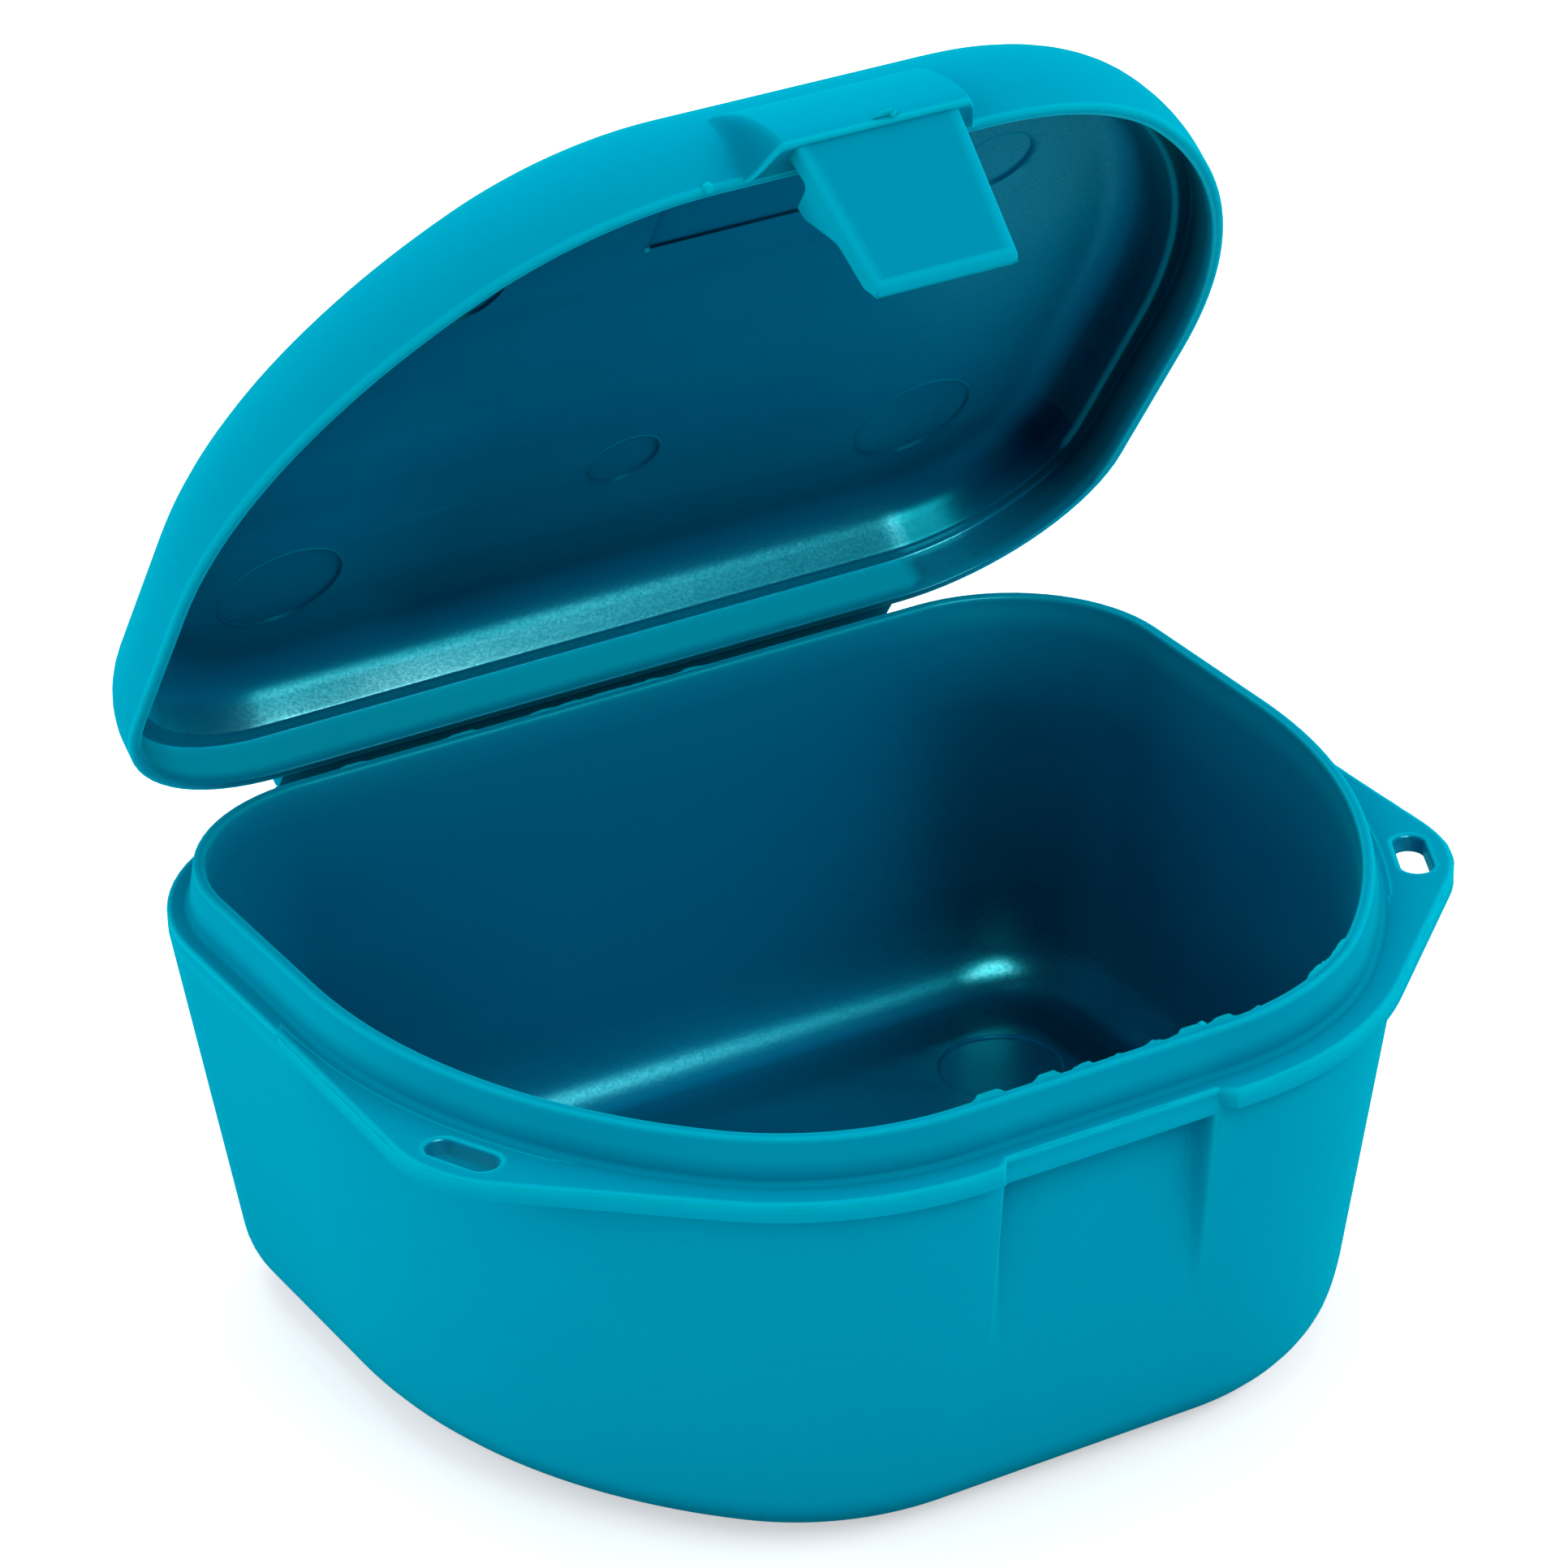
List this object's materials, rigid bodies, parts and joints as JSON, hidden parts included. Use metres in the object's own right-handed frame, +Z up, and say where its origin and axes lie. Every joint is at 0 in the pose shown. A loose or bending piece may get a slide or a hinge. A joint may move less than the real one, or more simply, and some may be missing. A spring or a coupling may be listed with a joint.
{
  "type": "orthodontic retainer case",
  "caption": "Small moulded case with a drafted D-shaped tub, a domed hinged lid and a snap tab at the front, shown with its lid open.",
  "frame": {"origin": "centre of the flat face that the tub stands on, midway between the back and the front of its lip", "axes": "+Z is up, -Y is the latch side that faces the user, +Y is the hinge side, X runs along the hinge"},
  "size_m": [0.0806, 0.0735, 0.0896],
  "materials": {
    "case_plastic": "satin fine-grained polypropylene"
  },
  "bodies": {
    "base": {"base_tub": "case_plastic", "left_flange": "case_plastic", "right_flange": "case_plastic", "base_hinge_strip": "case_plastic", "hinge_web": "case_plastic"},
    "lid": {"lid_shell": "case_plastic", "lid_hinge_strip": "case_plastic", "latch_boss": "case_plastic"},
    "latch": {"latch_tab": "case_plastic"}
  },
  "joints": [
    {"name": "lid_hinge", "type": "hinge", "parent": "base", "child": "lid", "pos_m": [0, 0.0357, 0.0299], "axis": [-1, 0, 0], "range_deg": [-54.6, 125.4]},
    {"name": "latch_flex", "type": "hinge", "parent": "lid", "child": "latch", "pos_m": [0, -0.00622, 0.08819], "axis": [-1, 0, 0], "range_deg": [0, 18], "stiffness_Nm_per_rad": 0.15}
  ]
}
